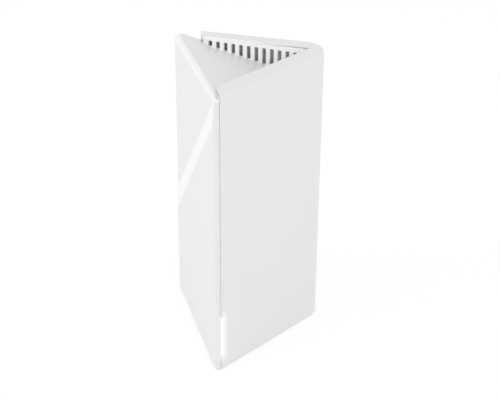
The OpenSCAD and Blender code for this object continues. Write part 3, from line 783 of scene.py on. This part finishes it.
def open_planes(mesh, planes):
    """Takes away the faces that lie in the planes, which leaves the walls between them."""
    flat = []
    for face in mesh.faces:
        for normal, place in planes.values():
            if face.normal.dot(normal) > SAME_WAY and abs(normal.dot(face.verts[0].co) - place) < SLACK:
                flat.append(face)
    bmesh.ops.delete(mesh, geom=flat, context="FACES_ONLY")
    bmesh.ops.delete(mesh, geom=[edge for edge in mesh.edges if not edge.link_faces], context="EDGES")


def open_edges(mesh, plane):
    """The edges round the openings in one plane."""
    normal, place = plane
    return [edge for edge in mesh.edges if edge.is_boundary
            and all(abs(normal.dot(v.co) - place) < SLACK for v in edge.verts)]


def round_open_edges(mesh, plane):
    """Rounds the open walls' edges over into their plane."""
    normal = plane[0]
    edges = open_edges(mesh, plane)
    sides = {}
    for edge in edges:
        inwards = -edge.link_faces[0].normal
        inwards = (inwards - normal * inwards.dot(normal)).normalized()
        for v in edge.verts:
            sides.setdefault(v, []).append(inwards)
    rows = {}
    for v, (one, two) in sides.items():
        step = (one + two) / (1 + one.dot(two)) * GRILLE_R
        start = v.co.copy()
        v.co = start - normal * GRILLE_R
        rows[v] = [v]
        for k in range(1, GRILLE_STEPS + 1):
            angle = math.pi / 2 * k / GRILLE_STEPS
            point = start + step * (1 - math.cos(angle)) - normal * GRILLE_R * (1 - math.sin(angle))
            rows[v].append(mesh.verts.new(point))
    for edge in edges:
        one, two = (rows[v] for v in edge.verts)
        for k in range(GRILLE_STEPS):
            mesh.faces.new((one[k], two[k], two[k + 1], one[k + 1]))


def vent_grille():
    """The slotted plate; its front and back are opened to round the slots, then filled again."""
    mesh = clean_copy("vent_grille", FLAT_TURN)
    planes = planes_of(mesh)
    open_planes(mesh, planes)
    corners = [edge for edge in mesh.edges if len(edge.link_faces) == 2 and is_slot_corner(edge)]
    bmesh.ops.bevel(mesh, geom=corners, offset=SLOT_CORNER_R, segments=SLOT_CORNER_STEPS, profile=0.5,
                    affect="EDGES", clamp_overlap=False)
    mesh.normal_update()
    round_open_edges(mesh, planes[False])
    for plane in planes.values():
        bmesh.ops.triangle_fill(mesh, use_beauty=True, edges=open_edges(mesh, plane), normal=plane[0])
    bmesh.ops.recalc_face_normals(mesh, faces=mesh.faces)
    round_edges(mesh, GRILLE_R, lambda edge, turn: 0)
    # The plate takes the lighter copy too: painted light in the well
    make_piece("vent_grille_plate", mesh, "vent_grille", [well_painted_light_plastic], GRILLE_R)


front_cover()
rear_housing()
vent_grille()


# ---------------------------------------------------------------- CAD nodes that stay
CAD_WELD = 0.001 * MM
CAD_ROUND_TURN = math.radians(35)


def dress(node, material, radius=0.0, segments=2):
    """Gives a CAD node its material and, where it asks, slightly rounded edges."""
    item = frame["nodes"][node]
    item.data.materials.clear()
    item.data.materials.append(material)
    weld = item.modifiers.new("weld", "WELD")
    weld.merge_threshold = CAD_WELD
    if radius:
        bevel = item.modifiers.new("rounds", "BEVEL")
        bevel.limit_method = "ANGLE"
        bevel.angle_limit = CAD_ROUND_TURN
        bevel.width = radius
        bevel.segments = segments
        bevel.use_clamp_overlap = True
    add_weighted(item)


dress("light_bar", diffuser, 0.2 * MM)
dress("light_board", board_green)
dress("light_chips", phosphor)
dress("base_cover", base_plastic, 0.3 * MM)
dress("rubber_feet", rubber_grey, 0.3 * MM)
dress("base_screws", screw_steel, 0.1 * MM)
dress("antenna_frame", frame_plastic, 0.3 * MM)
dress("frame_screws", screw_steel, 0.1 * MM)
dress("antenna_boards", board_green)
dress("main_board", board_green)
dress("board_screws", screw_steel, 0.1 * MM)
dress("processor", chip_plastic, 0.1 * MM)
dress("memory_chips", chip_plastic, 0.1 * MM)
dress("thermal_pad", pad_silicone)
dress("heat_sink", aluminium, 0.15 * MM)
dress("sink_pins", pin_plastic, 0.2 * MM)
dress("radio_shields", tin)
dress("network_transformers", chip_plastic, 0.2 * MM)
dress("capacitors", can_metal, 0.4 * MM)
dress("network_jacks", socket_plastic, 0.15 * MM)
dress("jack_shields", tin)
dress("jack_contacts", gold)
dress("power_inlet", socket_plastic, 0.2 * MM)
dress("inlet_pin", gold, 0.3 * MM)
dress("inlet_spring", tin)
dress("pair_switch", chip_plastic, 0.1 * MM)
dress("pair_plunger", plunger_plastic)
dress("pair_button", button_plastic, 0.4 * MM, 3)
dress("reset_switch", chip_plastic, 0.1 * MM)
dress("reset_button", plunger_plastic)
dress("power_switch", chip_plastic, 0.1 * MM)
dress("power_plunger", plunger_plastic)
dress("power_button", button_plastic, 0.4 * MM, 3)


# ---------------------------------------------------------------- floor, world and lamps
FLOOR_SIZE = 9.0
FLOOR_TONE = 0.9           # for the light it throws back
SEEN_TONE = 0.42           # where it is looked at: this tone and a glow come to white, less the shadow
SEEN_GLOW = 0.65


def looked_at(tree):
    """1 for rays from the camera, off gloss or through clear things; 0 for light passed on."""
    path = tree.nodes.new("ShaderNodeLightPath")
    looked = path.outputs["Is Camera Ray"]
    for kind in ("Is Glossy Ray", "Is Transmission Ray"):
        either = tree.nodes.new("ShaderNodeMath")
        either.operation = "MAXIMUM"
        tree.links.new(looked, either.inputs[0])
        tree.links.new(path.outputs[kind], either.inputs[1])
        looked = either.outputs["Value"]
    return looked


def add_floor():
    mesh = bmesh.new()
    bmesh.ops.create_grid(mesh, x_segments=8, y_segments=8, size=FLOOR_SIZE / 2)
    data = bpy.data.meshes.new("floor")
    mesh.to_mesh(data)
    mesh.free()
    floor = bpy.data.objects.new("floor", data)
    bpy.context.scene.collection.objects.link(floor)
    s = Shader("floor_white")
    looked = looked_at(s.material.node_tree)
    plain = s.add("ShaderNodeBsdfDiffuse", {"Color": grey(FLOOR_TONE)})
    bright = s.add("ShaderNodeBsdfDiffuse", {"Color": grey(SEEN_TONE)})
    lift = s.add("ShaderNodeEmission", {"Color": grey(1.0), "Strength": SEEN_GLOW})
    both = s.add("ShaderNodeAddShader", {0: bright.outputs[0], 1: lift.outputs[0]})
    mixed = s.add("ShaderNodeMixShader", {0: looked, 1: plain.outputs[0], 2: both.outputs[0]})
    s.links.new(mixed.outputs[0], s.output.inputs["Surface"])
    s.nodes.remove(s.bsdf)
    data.materials.append(s.material)


def add_world(level):
    world = bpy.data.worlds.new("studio")
    bpy.context.scene.world = world
    world.use_nodes = True
    nodes, links = world.node_tree.nodes, world.node_tree.links
    light = nodes["Background"]
    light.inputs["Color"].default_value = (1, 1, 1, 1)
    light.inputs["Strength"].default_value = level
    white = nodes.new("ShaderNodeBackground")
    white.inputs["Color"].default_value = (1, 1, 1, 1)
    white.inputs["Strength"].default_value = 1.0
    mix = nodes.new("ShaderNodeMixShader")
    links.new(looked_at(world.node_tree), mix.inputs[0])
    links.new(light.outputs[0], mix.inputs[1])
    links.new(white.outputs[0], mix.inputs[2])
    links.new(mix.outputs[0], nodes["World Output"].inputs["Surface"])


SKY = 0.785
LAMP_AWAY = 1.4
LAMP_SIZE = 0.7
LAMP_TILT = math.radians(24)
LAMP_TURN = math.radians(56)
LEFT_POWER = 3.35
RIGHT_POWER = 2.55
AIM = Vector((0, 0, height / 2))


def add_lamp(name, turn, power):
    """A soft lamp aimed at the router, at an angle counted from straight in front of it."""
    level = math.cos(LAMP_TILT)
    way = Vector((math.sin(turn) * level, -math.cos(turn) * level, math.sin(LAMP_TILT)))
    place = AIM + way * LAMP_AWAY
    data = bpy.data.lights.new(name, "AREA")
    data.shape = "DISK"
    data.size = LAMP_SIZE
    data.energy = power
    lamp = bpy.data.objects.new(name, data)
    lamp.location = place
    lamp.rotation_mode = "QUATERNION"
    lamp.rotation_quaternion = (AIM - place).to_track_quat("-Z", "Y")
    lamp.visible_camera = False
    bpy.context.scene.collection.objects.link(lamp)


add_floor()
add_world(SKY)
add_lamp("left_softbox", -LAMP_TURN, LEFT_POWER)
add_lamp("right_softbox", LAMP_TURN, RIGHT_POWER)

bpy.context.scene.view_settings.view_transform = "Standard"
